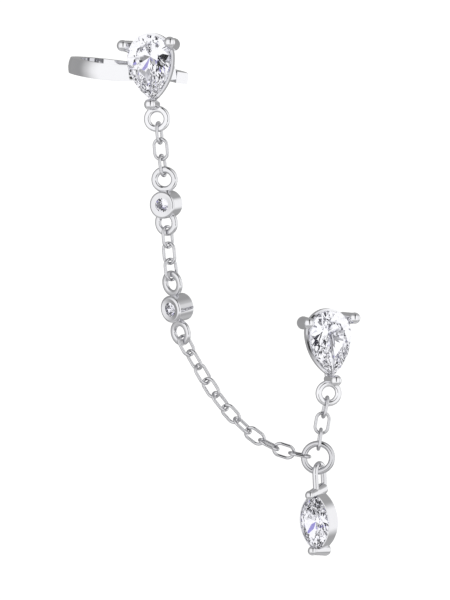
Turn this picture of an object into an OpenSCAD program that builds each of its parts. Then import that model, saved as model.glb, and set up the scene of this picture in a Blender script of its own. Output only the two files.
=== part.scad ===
/* [Pear stones] */
// Width of each pear-cut stone
pear_w = 4; // [3.6:0.1:4.6]
// Length of each pear-cut stone, round end to point
pear_l = 5.88; // [5.4:0.02:6.8]
// Height of the crown above the girdle of a large stone
crown_h = 0.55; // [0.4:0.05:0.7]
// Depth of the pavilion below the girdle of a pear stone
pear_pavilion = 1.7; // [1.4:0.05:1.8]
// Thickness of the girdle of a large stone
girdle_t = 0.1; // [0.06:0.02:0.14]

/* [Marquise stone] */
// Width of the marquise stone
marquise_w = 3; // [2.6:0.1:3.4]
// Length of the marquise stone, point to point
marquise_l = 5.2; // [4.8:0.1:6]
// Depth of its pavilion
marquise_pavilion = 1.2; // [0.9:0.05:1.25]

/* [Prong settings] */
// Diameter of the ball that ends each prong of a pear setting
ball_d = 1.04; // [0.8:0.02:1.1]
// Diameter of the back end of an upper prong
prong_back_d = 1.2; // [0.9:0.02:1.3]
// Diameter of the lower prong
stem_d = 0.74; // [0.6:0.02:0.9]
// How far the back ends of the upper prongs draw in toward the middle
prong_draw = 0.35; // [0.2:0.05:0.6]
// How far the prongs reach behind the girdle
prong_back = 1.7; // [1.4:0.05:1.9]
// Angle of the two upper prongs above the widest line of the stone
prong_angle = 27; // [16:1:34]
// How far the collar wall stands out from the girdle
collar_out = 0.16; // [0.1:0.02:0.24]
// Width of the ledge of the collar, inside the girdle
collar_in = 0.4; // [0.3:0.05:0.55]
// Depth of the collar's back edge behind the girdle
collar_back = 1.15; // [0.95:0.05:1.35]
// Gap between a stone and its metal
seat_gap = 0.05; // [0.03:0.01:0.08]

/* [Stud] */
// Turn of the stud's face toward the wearer's front
stud_yaw = 22; // [10:1:26]
// Lean of the stud, its point to the right
stud_roll = 4.2; // [0:0.5:8]
// Diameter of the ear post
post_d = 0.8; // [0.7:0.05:1]
// Length of the ear post
post_l = 10; // [8:0.5:12]
// Diameter of the three bars that carry the post
bar_d = 0.5; // [0.4:0.05:0.6]

/* [Ear cuff] */
// Inner diameter of the cuff
cuff_bore_d = 8.9; // [8.2:0.1:9.4]
// Wall thickness of the cuff band
cuff_t = 1.06; // [0.9:0.02:1.2]
// Height of the band at the stone
cuff_h_front = 1.6; // [1.3:0.05:1.7]
// Height of the band at its far end
cuff_h_far = 0.94; // [0.8:0.02:1.1]
// Radius of the rounded outside of the band
cuff_crown_r = 2.2; // [1.6:0.1:2.8]
// Place of the stone end of the band, round from the right
cuff_near_angle = -37; // [-42:1:-30]
// Place of the far end of the band, round from the right
cuff_far_angle = 5; // [-4:1:8]
// Roll of the cuff, its left side up
cuff_roll = 7; // [4:0.2:12]
// How far the stone end of the band climbs above the rest of it
cuff_climb = 1; // [0.6:0.05:1.2]
// Place where the band starts to climb, round from the right
cuff_climb_angle = -120; // [-140:5:-100]
// Turn of the cuff stone's face toward the left
cuff_yaw = -17; // [-22:1:-8]
// Pitch of the cuff stone's face upward
cuff_pitch = 4; // [0:1:10]
// Lean of the cuff stone, its point to the right
cuff_stone_roll = 3.7; // [0:0.5:8]
// How far the stone sits to the right of the middle of the cuff
cuff_side = 1.86; // [1.6:0.02:2.2]
// How far the stone's widest line sits above the middle of the cuff
cuff_rise = 1.78; // [1.5:0.05:2]
// How far the girdle stands in front of the band
cuff_lift = 1.02; // [0.9:0.01:1.1]

/* [Soldered rings] */
// Outer diameter of each small soldered ring
eye_d = 2.4; // [2.3:0.05:2.8]
// Width of the metal of each small soldered ring, from its hole to its rim
eye_wire = 0.6; // [0.56:0.02:0.7]
// Thickness of each small soldered ring, front to back
eye_thick = 0.48; // [0.4:0.02:0.6]
// Depth behind the girdle where a pear setting carries its ring
eye_depth = 1.5; // [1.2:0.05:1.5]

/* [Chain] */
// Length of a chain link
link_l = 2.16; // [2:0.01:2.3]
// Width of a chain link
link_w = 1.46; // [1.4:0.02:1.6]
// Wire diameter of a chain link
link_wire = 0.28; // [0.26:0.01:0.3]
// Gap between two pieces that hang in each other
play = 0.11; // [0.1:0.01:0.12]

/* [Jump ring] */
// Gap between the bail's arch and the jump ring's wire
bail_play = 0.16; // [0.13:0.01:0.2]
// Outer diameter of the jump ring
jump_d = 3.1; // [2.9:0.05:3.4]
// Wire diameter of the jump ring
jump_wire = 0.55; // [0.5:0.01:0.6]

/* [Bezel stations] */
// Diameter of each bezel cup
bezel_d = 2.5; // [2.3:0.05:2.7]
// Depth of each bezel cup
bezel_depth = 1.85; // [1.6:0.05:2.1]
// Radius of the rounded front edge of a cup
bezel_round = 0.26; // [0.1:0.02:0.3]
// Diameter of each small round stone
small_d = 1.32; // [1.2:0.02:1.4]
// Turn of the upper bezel's face toward the left
upper_yaw = -25; // [-35:1:-18]
// Turn of the lower bezel's face toward the left
lower_yaw = -45; // [-52:1:-40]

/* [Pendant] */
// Turn of the pendant's face toward the left
pendant_yaw = -34; // [-40:1:-28]
// Pitch of the pendant's face downward as it hangs
pendant_pitch = 5; // [3:0.5:8]
// Diameter of the ball at each end of the marquise
pendant_ball_d = 0.86; // [0.7:0.02:0.96]
// Diameter of the two prongs of the pendant
pendant_prong_d = 1.08; // [0.9:0.02:1.2]
// How far these prongs reach behind the girdle
pendant_back = 1.8; // [1.6:0.05:2]
// Wire diameter of the bail
bail_wire = 0.52; // [0.46:0.01:0.56]
// Radius of the bail's arch, to the middle of its wire
bail_r = 0.8; // [0.78:0.01:0.86]
// Turn of the bail against the pendant
bail_turn = 6; // [0:1:10]
// Height of the jump ring's wire above the tip of the marquise
bail_rise = 1.87; // [1.7:0.05:2.1]
// Depth of the bail behind the girdle
bail_depth = 1.1; // [1:0.05:1.2]

/* [Hidden] */
$fn = 48;

silver = [0.86, 0.87, 0.88];
crystal = [0.93, 0.94, 0.98];

// The links of each run, counted from the stud upward.
// heading is the link's direction in the upright plane, turn its twist about its own length.
HEADING = 0;
TURN = 1;
drop_links = [[257.5, 80], [260.5, -8], [262, 85]];
long_links = [
    [169, 88], [162, -16], [153, 80], [143, -24], [137, 68], [132, -30],
    [128, 54], [122, -32], [120, 44], [120, -50], [118, 38]
];
middle_links = [[97, 36], [95, -36], [95, 48]];
top_links = [[98, 68], [95, -12], [96, 70]];

// Where a link crosses the ring that it hangs in, round the ring from its right
stud_rim = 256;
jump_top_rim = 86;
jump_left_rim = 172;
jump_bottom_rim = 275;
lower_bottom_rim = 288;
lower_top_rim = 85;
upper_bottom_rim = 273;
upper_top_rim = 95;
cuff_rim = 280;

// Lean of the bezels, how far their rings bite into the cup, and the turns of the rings
upper_lean = 92.5;
lower_lean = 99.5;
eye_bite = 0.18;
upper_low_bite = 0.78;
upper_top_turn = -4;
upper_low_turn = -34;
stud_eye_turn = -13;
cuff_eye_turn = -6;

pear_r = pear_w / 2;
pear_point = pear_l - pear_r;
pear_side_r = (pear_point * pear_point + pear_r * pear_r) / pear_w;
marquise_a = marquise_l / 2;
marquise_b = marquise_w / 2;
marquise_side_r = (marquise_a * marquise_a + marquise_b * marquise_b) / marquise_w;
eye_r = (eye_d - eye_wire) / 2;
jump_r = (jump_d - jump_wire) / 2;
link_a = (link_l - link_wire) / 2;
link_b = (link_w - link_wire) / 2;
post_tip = 0.3;
post_sink = 0.17;
ball_out = 0.52;
low_ball_out = 0.46;
eye_solder = 0.26;
ball_front = 0.45;
ball_r = ball_d / 2;
low_prong_y = -(pear_point + low_ball_out);
eye_y = low_prong_y - stem_d / 2 - eye_d / 2 + eye_solder;
bar_depth = pear_pavilion + girdle_t / 2 + bar_d / 2 + 0.1;
neck_l = 0.35;
neck_d = post_d * 0.75;
seat_depth = bar_depth + bar_d / 2 + neck_l;
cuff_bore_r = cuff_bore_d / 2;
cuff_r = cuff_bore_r + cuff_t;
eye_reach = bezel_d / 2 + eye_d / 2 - eye_bite;
upper_low_reach = bezel_d / 2 + eye_d / 2 - upper_low_bite;

// A point of the upright plane, from its angle
function heading(a) = [cos(a), 0, sin(a)];

// Distance between the middles of two wires that hang in each other
function grip(wire_a, wire_b) = (wire_a + wire_b) / 2 + play;

// Middle of the wire at the far end of link k of a run that hangs on a wire at point p
function far_end(p, wire, run, k) =
    (k == 0
        ? p - grip(wire, link_wire) * heading(run[0][HEADING])
        : far_end(p, wire, run, k - 1)
            - grip(link_wire, link_wire) * heading((run[k - 1][HEADING] + run[k][HEADING]) / 2))
    + 2 * link_a * heading(run[k][HEADING]);

// Middle of the wire that the last link of a run hooks into
function run_out(p, wire, run, next_wire) =
    far_end(p, wire, run, len(run) - 1)
    - grip(link_wire, next_wire) * heading(run[len(run) - 1][HEADING]);

// A point on a ring that is turned by yaw and whose upright line leans
function on_ring(r, rim, yaw, lean) =
    let (x = r * cos(rim) * cos(yaw), z = r * sin(rim))
    [x * sin(lean) + z * cos(lean), r * cos(rim) * sin(yaw), z * sin(lean) - x * cos(lean)];

// A point of a setting, whose stone looks along its own z, put upright, leaned and turned
function stand(p, yaw, roll) =
    let (x = p[0] * cos(roll) - p[1] * sin(roll), y = p[0] * sin(roll) + p[1] * cos(roll))
    [x * cos(yaw) + p[2] * sin(yaw), x * sin(yaw) - p[2] * cos(yaw), y];

// A point pitched about the line from left to right, its front upward
function pitched(p, pitch) =
    [p[0], p[1] * cos(pitch) + p[2] * sin(pitch), p[2] * cos(pitch) - p[1] * sin(pitch)];

// The pieces follow each other from the origin, where the post leaves the stud
eye_local = [0, eye_y, -eye_depth];
stud_at = -stand([0, 0, -seat_depth], stud_yaw, stud_roll);
stud_eye_at = stud_at + stand(eye_local, stud_yaw, stud_roll);
drop_from = stud_eye_at + on_ring(eye_r, stud_rim, stud_yaw + stud_eye_turn, 90);
jump_at = run_out(drop_from, eye_wire, drop_links, jump_wire) - jump_r * heading(jump_top_rim);
long_from = jump_at + jump_r * heading(jump_left_rim);
lower_low_eye_at = run_out(long_from, jump_wire, long_links, eye_wire)
    - on_ring(eye_r, lower_bottom_rim, lower_yaw, lower_lean);
lower_at = lower_low_eye_at + eye_reach * heading(lower_lean);
lower_top_eye_at = lower_at + eye_reach * heading(lower_lean);
middle_from = lower_top_eye_at + on_ring(eye_r, lower_top_rim, lower_yaw, lower_lean);
upper_low_eye_at = run_out(middle_from, eye_wire, middle_links, eye_wire)
    - on_ring(eye_r, upper_bottom_rim, upper_low_turn, upper_lean);
upper_at = upper_low_eye_at + upper_low_reach * heading(upper_lean);
upper_top_eye_at = upper_at + eye_reach * heading(upper_lean);
top_from = upper_top_eye_at + on_ring(eye_r, upper_top_rim, upper_top_turn, upper_lean);
cuff_eye_at = run_out(top_from, eye_wire, top_links, eye_wire)
    - pitched(on_ring(eye_r, cuff_rim, cuff_eye_turn, 90), cuff_pitch);
cuff_stone_at = cuff_eye_at - pitched(stand(eye_local, cuff_yaw, cuff_stone_roll), cuff_pitch);
cuff_at = cuff_stone_at + [-cuff_side, cuff_r + cuff_lift, -cuff_rise];
bail_at = jump_at + jump_r * heading(jump_bottom_rim);
bail_y = marquise_a + bail_rise;

// Outlines of the stones as 16 girdle points each, anticlockwise from the right
HALF = 8;
function pear_girdle() = let (sweep = asin(pear_point / pear_side_r)) concat(
    [for (i = [0:HALF]) pear_r * [cos(i * 22.5), sin(i * 22.5)]],
    [for (i = [1:3]) [
        pear_side_r - pear_r - pear_side_r * cos(sweep * i / 4),
        -pear_side_r * sin(sweep * i / 4)]],
    [[0, -pear_point]],
    [for (i = [3:-1:1]) [
        pear_side_r * cos(sweep * i / 4) - pear_side_r + pear_r,
        -pear_side_r * sin(sweep * i / 4)]]
);
function marquise_girdle() = let (sweep = asin(marquise_a / marquise_side_r)) concat(
    [for (i = [0:4]) marquise_side_r * [cos(sweep * i / 4), sin(sweep * i / 4)]
        - [marquise_side_r - marquise_b, 0]],
    [for (i = [3:-1:-4]) [marquise_side_r - marquise_b, 0]
        - marquise_side_r * [cos(sweep * i / 4), -sin(sweep * i / 4)]],
    [for (i = [-3:-1]) marquise_side_r * [cos(sweep * i / 4), sin(sweep * i / 4)]
        - [marquise_side_r - marquise_b, 0]]
);
function round_girdle(r) = [for (i = [0:15]) r * [cos(i * 22.5), sin(i * 22.5)]];

// A brilliant cut on 16 girdle points: table, stars, kites, halves, girdle and pavilion
module brilliant(outline, crown, pavilion, girdle) {
    n = 16;
    table_share = 0.56;
    star_share = 0.79;
    star_rise = 0.62;
    low_share = 0.3;
    low_drop = 0.72;
    top = girdle / 2;
    points = concat(
        [for (i = [0:2:n - 1]) [outline[i][0] * table_share, outline[i][1] * table_share, top + crown]],
        [for (i = [1:2:n - 1]) [outline[i][0] * star_share, outline[i][1] * star_share, top + crown * star_rise]],
        [for (i = [0:n - 1]) [outline[i][0], outline[i][1], top]],
        [for (i = [0:n - 1]) [outline[i][0], outline[i][1], -top]],
        [for (i = [1:2:n - 1]) [outline[i][0] * low_share, outline[i][1] * low_share, -top - pavilion * low_drop]],
        [[0, 0, -top - pavilion]]
    );
    half = n / 2;
    star = half;
    upper = n;
    lower = 2 * n;
    keel = 3 * n;
    culet = 3 * n + half;
    faces = concat(
        [[for (i = [half - 1:-1:0]) i]],
        [for (i = [0:half - 1]) [i, (i + 1) % half, star + i]],
        [for (i = [0:half - 1]) [i, star + i, upper + 2 * i]],
        [for (i = [0:half - 1]) [i, upper + 2 * i, star + (i + half - 1) % half]],
        [for (i = [0:half - 1]) [star + i, upper + 2 * i + 1, upper + 2 * i]],
        [for (i = [0:half - 1]) [star + i, upper + (2 * i + 2) % n, upper + 2 * i + 1]],
        [for (i = [0:n - 1]) [upper + i, upper + (i + 1) % n, lower + i]],
        [for (i = [0:n - 1]) [lower + i, upper + (i + 1) % n, lower + (i + 1) % n]],
        [for (i = [0:half - 1]) [keel + i, lower + 2 * i, lower + 2 * i + 1]],
        [for (i = [0:half - 1]) [keel + i, lower + 2 * i + 1, lower + (2 * i + 2) % n]],
        [for (i = [0:half - 1]) [culet, lower + 2 * i, keel + i]],
        [for (i = [0:half - 1]) [culet, keel + (i + half - 1) % half, lower + 2 * i]]
    );
    color(crystal) polyhedron(points, faces);
}

// The outline of a pear stone in true arcs, grown outward
module pear_outline(grow) {
    r = pear_r + grow;
    side = pear_side_r + grow;
    centre = pear_side_r - pear_r;
    point = sqrt(side * side - centre * centre);
    intersection() {
        circle(r);
        translate([-r, 0]) square([2 * r, r]);
    }
    intersection() {
        translate([-centre, 0]) circle(side, $fn = 160);
        translate([centre, 0]) circle(side, $fn = 160);
        translate([-r, -point - 1]) square([2 * r, point + 1]);
    }
}

// The outline of the marquise stone in true arcs, grown outward
module marquise_outline(grow) {
    side = marquise_side_r + grow;
    centre = marquise_side_r - marquise_b;
    intersection() {
        translate([-centre, 0]) circle(side, $fn = 120);
        translate([centre, 0]) circle(side, $fn = 120);
    }
}

// A straight round bar between two points, its ends of two diameters
module bar(from, to, from_d, to_d) {
    run = to - from;
    length = norm(run);
    translate(from)
        rotate([0, acos(run[2] / length), atan2(run[1], run[0])])
            cylinder(h = length, d1 = from_d, d2 = to_d);
}

// A ring of round wire, lying flat
module wire_ring(r, wire) {
    rotate_extrude() translate([r, 0]) circle(d = wire, $fn = 32);
}

// A small soldered ring, lying flat, its rounded section wider than it is thick
module eye_ring() {
    flat = (eye_wire - eye_thick) / 2;
    rotate_extrude() translate([eye_r, 0]) {
        translate([-flat, 0]) circle(d = eye_thick, $fn = 32);
        translate([flat, 0]) circle(d = eye_thick, $fn = 32);
        square([2 * flat, eye_thick], center = true);
    }
}

// Half a ring of round wire
module wire_arc(r, wire) {
    rotate_extrude(angle = 180) translate([r, 0]) circle(d = wire, $fn = 24);
}

// An oval chain link, long along y
module link() {
    straight = link_a - link_b;
    for (s = [0, 180]) rotate([0, 0, s]) {
        translate([0, straight]) wire_arc(link_b, link_wire);
        translate([link_b, -straight]) rotate([-90, 0, 0]) cylinder(h = 2 * straight, d = link_wire, $fn = 24);
    }
}

// Link k of a run that hangs on a wire at point p
module chain_link(p, wire, run, k) {
    at = far_end(p, wire, run, k) - link_a * heading(run[k][HEADING]);
    color(silver)
        translate(at)
            rotate([0, 90 - run[k][HEADING], 0])
                rotate([0, 0, run[k][TURN]])
                    rotate([90, 0, 0])
                        link();
}

// Stands a setting up, leaned, turned and pitched, at its place
module stood(at, yaw, roll, pitch) {
    translate(at) rotate([-pitch, 0, 0]) rotate([0, 0, yaw]) rotate([90, 0, 0]) rotate([0, 0, roll]) children();
}

// A prong with a ball at its front and a rounded back
module prong_shape(front_d, neck_d, back_d, length) {
    soft = back_d * 0.3;
    rotate_extrude() intersection() {
        union() {
            circle(d = front_d);
            polygon(concat(
                [[0, 0], [neck_d / 2, 0]],
                [for (t = [0:22.5:90]) [
                    back_d / 2 - soft * (1 - cos(t)),
                    -length + soft * (1 - sin(t))]],
                [[0, -length]]
            ));
        }
        translate([0, -length]) square([front_d + back_d, length + front_d]);
    }
}

// Turns a piece that points along z so that it runs from its front back to another point
module aimed(front, back) {
    run = front - back;
    translate(front) rotate([0, acos(run[2] / norm(run)), atan2(run[1], run[0])]) children();
}

// An upper prong of a pear setting, on the side s
module upper_prong(s) {
    reach = pear_r + ball_out;
    way = [s * cos(prong_angle), sin(prong_angle)];
    front = [way[0] * reach, way[1] * reach, ball_front];
    back = [way[0] * (reach - prong_draw), way[1] * (reach - prong_draw), -prong_back];
    aimed(front, back) prong_shape(ball_d, ball_d * 0.92, prong_back_d, norm(front - back) + 0.35);
}

// The three-prong collar of a pear stone, with the ring under its point turned by eye_turn
module pear_setting(eye_turn) {
    ledge = 0.65;
    rim = 0.28;
    difference() {
        union() {
            translate([0, 0, -collar_back]) linear_extrude(collar_back - ledge) difference() {
                pear_outline(collar_out);
                pear_outline(-collar_in);
            }
            translate([0, 0, -ledge]) linear_extrude(ledge - rim) difference() {
                pear_outline(collar_out / 2);
                pear_outline(-0.18);
            }
            upper_prong(-1);
            upper_prong(1);
            translate([0, low_prong_y, ball_front])
                prong_shape(ball_d, stem_d, stem_d, ball_front + prong_back);
        }
        translate([0, 0, -rim]) linear_extrude(rim + 0.17) pear_outline(seat_gap);
    }
    translate(eye_local) rotate([0, eye_turn, 0]) eye_ring();
}

// Bars behind the stud's collar that meet at the post
module post_bars() {
    reach = pear_r + ball_out - prong_draw;
    centre = [0, 0, -bar_depth];
    for (s = [-1, 1])
        bar([s * cos(prong_angle) * reach, sin(prong_angle) * reach, -prong_back], centre, bar_d, bar_d);
    bar([0, low_prong_y, -prong_back + bar_d / 2], centre, bar_d, bar_d);
    translate([0, 0, -seat_depth]) cylinder(h = seat_depth - bar_depth, d = neck_d);
}

module stud_setting() {
    color(silver) {
        stood(stud_at, stud_yaw, stud_roll, 0) {
            pear_setting(stud_eye_turn);
            post_bars();
        }
        rotate([-90, 0, 0]) {
            translate([0, 0, -post_sink]) cylinder(h = post_l - post_tip + post_sink, d = post_d);
            translate([0, 0, post_l - post_tip]) cylinder(h = post_tip, d1 = post_d, d2 = post_d / 2);
        }
    }
}

module stud_stone() {
    stood(stud_at, stud_yaw, stud_roll, 0) brilliant(pear_girdle(), crown_h, pear_pavilion, girdle_t);
}

// Height of the cuff band at an angle round it, from the stone end to the far end
band_sweep = cuff_near_angle - cuff_far_angle + 360;
function band_h(a) =
    cuff_h_front + (cuff_h_far - cuff_h_front) * pow((cuff_near_angle - a) / band_sweep, 1.8);

// Height of the band's middle there, which climbs toward the stone end
function band_mid(a) =
    a <= cuff_climb_angle
        ? 0
        : cuff_climb * pow((a - cuff_climb_angle) / (cuff_near_angle - cuff_climb_angle), 1.3);

// A solid that narrows and climbs round the cuff, as tall at each angle as the band there
module band_taper() {
    steps = 30;
    out = cuff_r * 1.2;
    angles = [for (i = [0:steps]) cuff_near_angle - band_sweep * i / steps];
    hub = (cuff_h_front + cuff_h_far) / 4;
    points = concat(
        [[0, 0, hub], [0, 0, -hub]],
        [for (a = angles) [out * cos(a), out * sin(a), band_mid(a) + band_h(a) / 2]],
        [for (a = angles) [out * cos(a), out * sin(a), band_mid(a) - band_h(a) / 2]]
    );
    upper = 2;
    lower = 3 + steps;
    faces = concat(
        [for (i = [0:steps - 1]) [0, upper + i, upper + i + 1]],
        [for (i = [0:steps - 1]) [1, lower + i + 1, lower + i]],
        [for (i = [0:steps - 1]) [upper + i, lower + i, upper + i + 1]],
        [for (i = [0:steps - 1]) [upper + i + 1, lower + i, lower + i + 1]],
        [[0, 1, upper], [1, lower, upper], [0, upper + steps, 1], [1, upper + steps, lower + steps]]
    );
    polyhedron(points, faces);
}

// The open band of the cuff about its own middle
module cuff_band() {
    reach = cuff_crown_r;
    intersection() {
        rotate_extrude($fn = 160) intersection() {
            translate([cuff_bore_r, -reach]) square([cuff_t * 2, 2 * reach]);
            translate([cuff_r - cuff_crown_r, 0]) circle(cuff_crown_r, $fn = 64);
        }
        band_taper();
    }
}

module ear_cuff() {
    color(silver) {
        translate(cuff_at) rotate([0, cuff_roll, 0]) cuff_band();
        stood(cuff_stone_at, cuff_yaw, cuff_stone_roll, cuff_pitch) pear_setting(cuff_eye_turn - cuff_yaw);
    }
}

module cuff_stone() {
    stood(cuff_stone_at, cuff_yaw, cuff_stone_roll, cuff_pitch)
        brilliant(pear_girdle(), crown_h, pear_pavilion, girdle_t);
}

// Heights of a bezel cup's front, all measured from its middle
bezel_front = bezel_depth / 2;
dish_depth = 0.08;
lip_t = 0.05;
small_crown = 0.17;
small_pavilion = 0.5;
small_girdle = 0.05;
small_z = bezel_front - dish_depth - lip_t - seat_gap - small_girdle;

// A bezel cup, its open front along z
module cup() {
    r = bezel_d / 2;
    pocket_r = small_d / 2 + seat_gap;
    rotate_extrude() difference() {
        union() {
            translate([0, -bezel_front]) square([r, bezel_depth - bezel_round]);
            translate([0, -bezel_front]) square([r - bezel_round, bezel_depth]);
            translate([r - bezel_round, bezel_front - bezel_round]) circle(bezel_round, $fn = 32);
        }
        polygon([
            [0, bezel_front + 1],
            [r * 0.8, bezel_front + 1],
            [r * 0.8, bezel_front],
            [small_d / 2 - 0.02, bezel_front - dish_depth],
            [small_d / 2 - 0.02, bezel_front - dish_depth - lip_t],
            [pocket_r, bezel_front - dish_depth - lip_t],
            [pocket_r, small_z - 0.3],
            [small_d * 0.3, small_z - 0.3],
            [small_d * 0.3, -bezel_front - 1],
            [0, -bezel_front - 1]
        ]);
    }
}

// A bezel cup with a soldered ring above and below, lean as an angle from the right
module bezel(at, yaw, lean, low_reach, low_turn, top_turn) {
    color(silver) translate(at) rotate([0, 90 - lean, 0]) rotate([0, 0, yaw]) rotate([90, 0, 0]) {
        cup();
        translate([0, -low_reach, 0]) rotate([0, low_turn, 0]) eye_ring();
        translate([0, eye_reach, 0]) rotate([0, top_turn, 0]) eye_ring();
    }
}

module small_stone(at, yaw, lean) {
    translate(at) rotate([0, 90 - lean, 0]) rotate([0, 0, yaw]) rotate([90, 0, 0])
        translate([0, 0, small_z])
            brilliant(round_girdle(small_d / 2), small_crown, small_pavilion, small_girdle);
}

module bezel_upper() {
    bezel(upper_at, upper_yaw, upper_lean, upper_low_reach, upper_low_turn - upper_yaw, upper_top_turn - upper_yaw);
}

module bezel_lower() {
    bezel(lower_at, lower_yaw, lower_lean, eye_reach, 0, 0);
}

module bezel_upper_stone() {
    small_stone(upper_at, upper_yaw, upper_lean);
}

module bezel_lower_stone() {
    small_stone(lower_at, lower_yaw, lower_lean);
}

module jump_ring() {
    color(silver) translate(jump_at) rotate([90, 0, 0]) wire_ring(jump_r, jump_wire);
}

// Hangs the pendant, whose stone looks along its own z, from the jump ring
module hung() {
    translate(bail_at)
        rotate([0, 0, pendant_yaw])
            rotate([90 + pendant_pitch, 0, 0])
                translate([0, -bail_y, bail_depth])
                    children();
}

// A wedge that holds the marquise up to a distance past its tip, on the side s
module tip_wedge(s, past) {
    slope = marquise_b / marquise_a;
    top = marquise_a + past;
    polygon([[0, s * top], [s * 1.5, s * (top - 1.5 * slope)], [0, s * (top - 2)], [-s * 1.5, s * (top - 1.5 * slope)]]);
}

// One prong of the pendant, at the tip on the side s, cut away for the stone
module pendant_prong(s) {
    lift = 0.62;
    reach = marquise_a - 0.04;
    front = [0, s * reach, lift];
    back = [0, s * (reach + 0.3), -pendant_back];
    difference() {
        aimed(front, back) prong_shape(pendant_ball_d, pendant_ball_d * 0.9, pendant_prong_d, norm(front - back));
        translate([0, 0, -0.3]) linear_extrude(0.62) tip_wedge(s, 0.07);
        translate([0, 0, -1.9]) linear_extrude(1.7) tip_wedge(s, -0.22);
    }
}

// The bail, whose arch goes round the jump ring's wire and whose legs stand on the upper prong
module bail() {
    drop = bail_r - (bail_wire + jump_wire) / 2 - bail_play;
    leg = bail_y - drop - marquise_a - 0.1;
    translate([0, bail_y - drop, -bail_depth]) rotate([0, 90 + bail_turn, 0]) {
        wire_arc(bail_r, bail_wire);
        for (s = [-1, 1]) translate([s * bail_r, -leg, 0]) rotate([-90, 0, 0]) cylinder(h = leg, d = bail_wire, $fn = 24);
    }
}

module pendant_setting() {
    rim = 0.3;
    rim_out = 0.15;
    wall = 1;
    color(silver) hung() {
        translate([0, 0, -rim - wall]) linear_extrude(wall) difference() {
            marquise_outline(rim_out);
            marquise_outline(-0.22);
        }
        translate([0, 0, -rim]) linear_extrude(rim + 0.06) difference() {
            marquise_outline(rim_out);
            marquise_outline(seat_gap);
        }
        pendant_prong(1);
        pendant_prong(-1);
        bail();
    }
}

module pendant_stone() {
    hung() brilliant(marquise_girdle(), crown_h * 0.8, marquise_pavilion, girdle_t);
}

ear_cuff();
cuff_stone();
chain_link(top_from, eye_wire, top_links, 0);  // top_link_1
chain_link(top_from, eye_wire, top_links, 1);  // top_link_2
chain_link(top_from, eye_wire, top_links, 2);  // top_link_3
bezel_upper();
bezel_upper_stone();
chain_link(middle_from, eye_wire, middle_links, 0);  // middle_link_1
chain_link(middle_from, eye_wire, middle_links, 1);  // middle_link_2
chain_link(middle_from, eye_wire, middle_links, 2);  // middle_link_3
bezel_lower();
bezel_lower_stone();
chain_link(long_from, jump_wire, long_links, 0);  // long_link_1
chain_link(long_from, jump_wire, long_links, 1);  // long_link_2
chain_link(long_from, jump_wire, long_links, 2);  // long_link_3
chain_link(long_from, jump_wire, long_links, 3);  // long_link_4
chain_link(long_from, jump_wire, long_links, 4);  // long_link_5
chain_link(long_from, jump_wire, long_links, 5);  // long_link_6
chain_link(long_from, jump_wire, long_links, 6);  // long_link_7
chain_link(long_from, jump_wire, long_links, 7);  // long_link_8
chain_link(long_from, jump_wire, long_links, 8);  // long_link_9
chain_link(long_from, jump_wire, long_links, 9);  // long_link_10
chain_link(long_from, jump_wire, long_links, 10);  // long_link_11
jump_ring();
chain_link(drop_from, eye_wire, drop_links, 0);  // drop_link_1
chain_link(drop_from, eye_wire, drop_links, 1);  // drop_link_2
chain_link(drop_from, eye_wire, drop_links, 2);  // drop_link_3
stud_setting();
stud_stone();
pendant_setting();
pendant_stone();
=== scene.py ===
import math

import bpy
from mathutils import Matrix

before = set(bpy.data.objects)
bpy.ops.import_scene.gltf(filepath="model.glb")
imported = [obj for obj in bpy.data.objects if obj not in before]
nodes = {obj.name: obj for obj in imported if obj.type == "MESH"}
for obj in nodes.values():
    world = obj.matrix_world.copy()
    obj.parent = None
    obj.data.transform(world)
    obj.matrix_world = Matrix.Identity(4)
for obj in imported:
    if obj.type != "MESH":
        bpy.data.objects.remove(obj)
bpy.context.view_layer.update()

MM = 0.001

# The ear cuff.
# An open band of solid silver, rolled and rhodium plated, with a three-prong collar and a
# small ring soldered to its front end. It is buffed to a mirror, so it shows faint haze only.
HAZE_SCALE = 900.0
HAZE_DETAIL = 4.0
SCRATCH_SCALE = 3200.0
SCRATCH_DETAIL = 2.0
SCRATCH_DEPTH = 0.01 * MM


def polished_silver(name, colour, polish, haze, ripple):
    metal = bpy.data.materials.new(name)
    metal.use_nodes = True
    tree = metal.node_tree
    shader = tree.nodes["Principled BSDF"]
    shader.inputs["Base Color"].default_value = (*colour, 1.0)
    shader.inputs["Metallic"].default_value = 1.0
    place = tree.nodes.new("ShaderNodeTexCoord")
    cloud = tree.nodes.new("ShaderNodeTexNoise")
    cloud.inputs["Scale"].default_value = HAZE_SCALE
    cloud.inputs["Detail"].default_value = HAZE_DETAIL
    tree.links.new(place.outputs["Object"], cloud.inputs["Vector"])
    rub = tree.nodes.new("ShaderNodeMapRange")
    rub.inputs["To Min"].default_value = polish
    rub.inputs["To Max"].default_value = polish + haze
    tree.links.new(cloud.outputs["Fac"], rub.inputs["Value"])
    tree.links.new(rub.outputs["Result"], shader.inputs["Roughness"])
    grain = tree.nodes.new("ShaderNodeTexNoise")
    grain.inputs["Scale"].default_value = SCRATCH_SCALE
    grain.inputs["Detail"].default_value = SCRATCH_DETAIL
    tree.links.new(place.outputs["Object"], grain.inputs["Vector"])
    bump = tree.nodes.new("ShaderNodeBump")
    bump.inputs["Strength"].default_value = ripple
    bump.inputs["Distance"].default_value = SCRATCH_DEPTH
    tree.links.new(grain.outputs["Fac"], bump.inputs["Height"])
    tree.links.new(bump.outputs["Normal"], shader.inputs["Normal"])
    return metal


def wear(node, material):
    slots = nodes[node].data.materials
    slots.clear()
    slots.append(material)


cuff_silver = polished_silver("cuff_silver", (0.73, 0.73, 0.75), 0.02, 0.03, 0.02)
wear("ear_cuff", cuff_silver)

# The cuff's stone.
# A pear-cut cubic zirconia, colourless, that rests on the collar's ledge under three prongs.
# The tint of its surface glare is kept dark, because a bright room would veil the facets.
FACET_GLARE = (0.1, 0.1, 0.12, 1)


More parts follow.
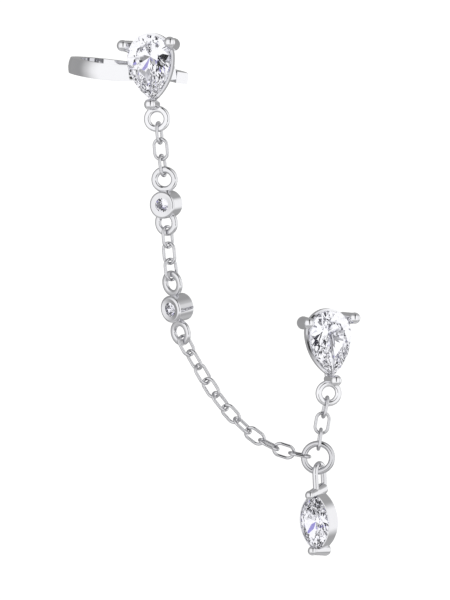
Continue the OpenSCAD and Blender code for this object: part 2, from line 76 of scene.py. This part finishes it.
def cut_crystal(name, tint, bend):
    crystal = bpy.data.materials.new(name)
    crystal.use_nodes = True
    shader = crystal.node_tree.nodes["Principled BSDF"]
    shader.inputs["Base Color"].default_value = (*tint, 1.0)
    shader.inputs["Roughness"].default_value = 0.0
    shader.inputs["IOR"].default_value = bend
    shader.inputs["Transmission Weight"].default_value = 1.0
    shader.inputs["Specular Tint"].default_value = FACET_GLARE
    return crystal


large_crystal = cut_crystal("large_crystal", (0.96, 0.96, 1.0), 1.9)
wear("cuff_stone", large_crystal)

# The chain.
# Oval cable links of drawn silver wire, each closed with solder and tumbled bright.
# Its base colour is darker than the cuff's silver: painted shade that greys the thin links.
shaded_chain_silver = polished_silver("shaded_chain_silver", (0.58, 0.58, 0.60), 0.04, 0.04, 0.03)
RUNS = {"top_link": 3, "middle_link": 3, "long_link": 11, "drop_link": 3}
for run, count in RUNS.items():
    for number in range(1, count + 1):
        wear(f"{run}_{number}", shaded_chain_silver)

# The two bezel stations.
# Round cups turned from silver rod, a small round stone rubbed into each, with a ring
# soldered above and below.
bezel_silver = polished_silver("bezel_silver", (0.66, 0.66, 0.68), 0.03, 0.04, 0.02)
small_crystal = cut_crystal("small_crystal", (0.95, 0.95, 1.0), 2.15)
for station in ("bezel_upper", "bezel_lower"):
    wear(station, bezel_silver)
    wear(f"{station}_stone", small_crystal)

# The jump ring.
# A closed ring of heavier round wire where the three runs meet.
# Its base colour is darker than the cuff's silver: painted shade that greys the ring.
shaded_ring_silver = polished_silver("shaded_ring_silver", (0.56, 0.56, 0.58), 0.03, 0.03, 0.02)
wear("jump_ring", shaded_ring_silver)

# The stud.
# A three-prong collar for the second pear stone, a small ring under its point, and a plain
# post soldered to three bars behind it.
stud_silver = polished_silver("stud_silver", (0.73, 0.73, 0.75), 0.02, 0.03, 0.02)
wear("stud_setting", stud_silver)
wear("stud_stone", large_crystal)

# The pendant.
# A marquise collar with a prong at each point and a bail that swings on the jump ring. Its
# stone is a marquise-cut cubic zirconia.
pendant_silver = polished_silver("pendant_silver", (0.68, 0.68, 0.70), 0.02, 0.03, 0.02)
wear("pendant_setting", pendant_silver)
marquise_crystal = cut_crystal("marquise_crystal", (0.95, 0.95, 1.0), 2.2)
wear("pendant_stone", marquise_crystal)

# The studio.
# A pale floor that curves up into a far wall, a white tent that the jewel mirrors, and a long
# lens a little above it. The wall stands behind the lens in every turned view.
FLOOR_Z = -45 * MM
FLOOR_REACH = 1850 * MM
SWEEP_R = 120 * MM
SWEEP_STEPS = 12
WALL_TOP = 700 * MM
PAPER_GREY = (0.3, 0.3, 0.3, 1.0)
PAPER_GLOW = 0.85

profile = [(-FLOOR_REACH, FLOOR_Z)]
for step in range(SWEEP_STEPS + 1):
    turn = math.radians(90 * step / SWEEP_STEPS)
    rise = SWEEP_R * (1 - math.cos(turn))
    profile.append((FLOOR_REACH + SWEEP_R * math.sin(turn), FLOOR_Z + rise))
profile.append((FLOOR_REACH + SWEEP_R, WALL_TOP))
floor_mesh = bpy.data.meshes.new("studio_floor")
floor_mesh.from_pydata(
    [(side * FLOOR_REACH, y, z) for y, z in profile for side in (-1, 1)],
    [],
    [(2 * i, 2 * i + 1, 2 * i + 3, 2 * i + 2) for i in range(len(profile) - 1)],
)
floor = bpy.data.objects.new("studio_floor", floor_mesh)
bpy.context.scene.collection.objects.link(floor)
for face in floor_mesh.polygons:
    face.use_smooth = True
paper = bpy.data.materials.new("pale_paper")
paper.use_nodes = True
sheet = paper.node_tree.nodes["Principled BSDF"]
sheet.inputs["Base Color"].default_value = PAPER_GREY
sheet.inputs["Roughness"].default_value = 1.0
sheet.inputs["Emission Color"].default_value = (1, 1, 1, 1)
sheet.inputs["Emission Strength"].default_value = PAPER_GLOW
floor_mesh.materials.append(paper)
floor.visible_glossy = False

world = bpy.data.worlds.new("white_tent")
bpy.context.scene.world = world
world.use_nodes = True
sky = world.node_tree
background = sky.nodes["Background"]
direction = sky.nodes.new("ShaderNodeTexCoord")
split = sky.nodes.new("ShaderNodeSeparateXYZ")
sky.links.new(direction.outputs["Generated"], split.inputs["Vector"])
across = split.outputs["X"]
depth = split.outputs["Y"]
height = split.outputs["Z"]


def sky_maths(operation, first, second=0):
    step = sky.nodes.new("ShaderNodeMath")
    step.operation = operation
    for socket, value in zip(step.inputs, (first, second)):
        if isinstance(value, (int, float)):
            socket.default_value = value
        else:
            sky.links.new(value, socket)
    return step.outputs["Value"]


def sky_ramp(value, span):
    ramp = sky.nodes.new("ShaderNodeMapRange")
    ramp.interpolation_type = "SMOOTHSTEP"
    ramp.inputs["From Min"].default_value, ramp.inputs["From Max"].default_value = span
    sky.links.new(value, ramp.inputs["Value"])
    return ramp.outputs["Result"]


def sky_product(first, *others):
    for other in others:
        first = sky_maths("MULTIPLY", first, other)
    return first


def sky_distance(value, middle):
    return sky_maths("ABSOLUTE", sky_maths("SUBTRACT", value, middle))


def sky_mix(share, first, second):
    step = sky_maths("SUBTRACT", second, first)
    return sky_maths("ADD", sky_maths("MULTIPLY", share, step), first)


# What the metal mirrors. The front is bright and the side walls grey, it is dimmer overhead,
# underfoot and straight behind, and a bright strip stands at the right.
# Each span gives the direction's share across, in depth or in height at which a tone begins
# and at which it is full.
TENT_LIGHT = 1.28
TENT_LEFT = 0.42
TENT_RIGHT = 0.5
TENT_TOP = 0.46
TENT_GREY = 0.6
TENT_BELOW = 0.8
TENT_EDGE = 0.36
LEFT_TO_RIGHT = (-0.3, 0.4)
FRONT_TO_SIDE = (-0.55, 0.4)
OVERHEAD = (0.6, 0.95)
UNDERFOOT = (-0.42, -0.75)
BACK_FLOOR_HEIGHT = (-0.5, -0.8)
BACK_FLOOR_DEPTH = (0.0, 0.3)
STRIP_ACROSS = (0.6, 0.75)
STRIP_MIDDLE = 0.02
STRIP_HALF = (0.52, 0.28)
STRIP_DEPTH = (-0.1, 0.1)
STRAIGHT_BEHIND = (0.75, 0.97)
side_walls = sky_mix(sky_ramp(across, LEFT_TO_RIGHT), TENT_LEFT, TENT_RIGHT)
back_floor = sky_product(sky_ramp(height, BACK_FLOOR_HEIGHT), sky_ramp(depth, BACK_FLOOR_DEPTH))
strip = sky_product(
    sky_ramp(across, STRIP_ACROSS),
    sky_ramp(sky_distance(height, STRIP_MIDDLE), STRIP_HALF),
    sky_ramp(depth, STRIP_DEPTH),
)
metal_shine = sky_mix(sky_ramp(depth, FRONT_TO_SIDE), TENT_LIGHT, side_walls)
metal_shine = sky_mix(sky_ramp(height, OVERHEAD), metal_shine, TENT_TOP)
metal_shine = sky_mix(sky_ramp(height, UNDERFOOT), metal_shine, TENT_GREY)
metal_shine = sky_mix(back_floor, metal_shine, TENT_BELOW)
metal_shine = sky_mix(strip, metal_shine, TENT_LIGHT)
metal_shine = sky_mix(sky_ramp(depth, STRAIGHT_BEHIND), metal_shine, TENT_EDGE)

# The dark slot beside the lens. It draws the thin dark line down each prong's ball, and it has
# a gap at the height that the flat end of the cuff's band mirrors, which stays bright.
TENT_DARK = 0.06
SLOT_LEFT_SIDE = (0.0, 0.06)
SLOT_RIGHT_SIDE = (0.4, 0.32)
SLOT_FOOT = (-0.42, -0.3)
SLOT_GAP = -0.0865
SLOT_GAP_HALF = (0.03, 0.05)
SLOT_DEPTH = (0.0, -0.12)
slot = sky_product(
    sky_ramp(across, SLOT_LEFT_SIDE),
    sky_ramp(across, SLOT_RIGHT_SIDE),
    sky_ramp(height, SLOT_FOOT),
    sky_ramp(sky_distance(height, SLOT_GAP), SLOT_GAP_HALF),
    sky_ramp(depth, SLOT_DEPTH),
)
metal_shine = sky_mix(slot, metal_shine, TENT_DARK)

# What the stones gather. It is white all round, broken by dark, grey and violet cards, so that
# each facet throws one tone, and dark toward the lens.
STONE_DARK = 0.03
STONE_LIGHT = 1.04
STONE_GREY = 0.52
CARD_SCALE = 3.0
CARD_EDGE = 0.01
BLACK_CARDS = 0.16
GREY_CARDS = 0.26
VIOLET_CARDS = 0.12
CARD_VIOLET = (0.34, 0.31, 0.66, 1)
TOWARD_LENS = (-0.86, -0.90)
cards = sky.nodes.new("ShaderNodeTexVoronoi")
cards.inputs["Scale"].default_value = CARD_SCALE
sky.links.new(direction.outputs["Generated"], cards.inputs["Vector"])
card_split = sky.nodes.new("ShaderNodeSeparateColor")
sky.links.new(cards.outputs["Color"], card_split.inputs["Color"])


def sky_cards(channel, share):
    return sky_ramp(card_split.outputs[channel], (share, share - CARD_EDGE))


shade = sky_maths("MAXIMUM", sky_ramp(depth, TOWARD_LENS), sky_cards("Red", BLACK_CARDS))
stone_shine = sky_mix(sky_cards("Green", GREY_CARDS), STONE_LIGHT, STONE_GREY)
stone_shine = sky_mix(shade, stone_shine, STONE_DARK)
in_stone = sky.nodes.new("ShaderNodeLightPath").outputs["Is Transmission Ray"]
shine = sky_mix(in_stone, metal_shine, stone_shine)
sky.links.new(shine, background.inputs["Strength"])
tint = sky.nodes.new("ShaderNodeMix")
tint.data_type = "RGBA"
tint.inputs["A"].default_value = (1, 1, 1, 1)
tint.inputs["B"].default_value = CARD_VIOLET
violet = sky_product(in_stone, sky_cards("Blue", VIOLET_CARDS))
sky.links.new(violet, tint.inputs["Factor"])
sky.links.new(tint.outputs["Result"], background.inputs["Color"])

# The lens.
# It is long, stands a little above the jewel, and is set on the middle of the picture.
PIXELS_A_MM = 11.0
FRAME_W = 450
FRAME_H = 600
ORIGIN_PIXEL = (319.4, 330.7)
DISTANCE = 1200 * MM
ELEVATION = math.radians(4.5)
SENSOR_W = 36
NEAR = 0.01
FAR = 10
target = (
    (FRAME_W / 2 - ORIGIN_PIXEL[0]) / PIXELS_A_MM * MM,
    0,
    (ORIGIN_PIXEL[1] - FRAME_H / 2) / PIXELS_A_MM * MM,
)
lens = bpy.data.cameras.new("long_lens")
lens.sensor_width = SENSOR_W
lens.lens = lens.sensor_width * DISTANCE / (FRAME_H / PIXELS_A_MM * MM)
lens.clip_start = NEAR
lens.clip_end = FAR
camera = bpy.data.objects.new("long_lens", lens)
camera.location = (
    target[0],
    target[1] - DISTANCE * math.cos(ELEVATION),
    target[2] + DISTANCE * math.sin(ELEVATION),
)
camera.rotation_euler = (math.pi / 2 - ELEVATION, 0, 0)
bpy.context.scene.collection.objects.link(camera)
bpy.context.scene.camera = camera
bpy.context.scene.view_settings.view_transform = "Standard"

# A cut stone passes a ray many times from facet to facet before it comes out.
FACET_BOUNCES = 14
bpy.context.scene.cycles.max_bounces = FACET_BOUNCES
bpy.context.scene.cycles.transmission_bounces = FACET_BOUNCES
bpy.context.scene.cycles.glossy_bounces = FACET_BOUNCES
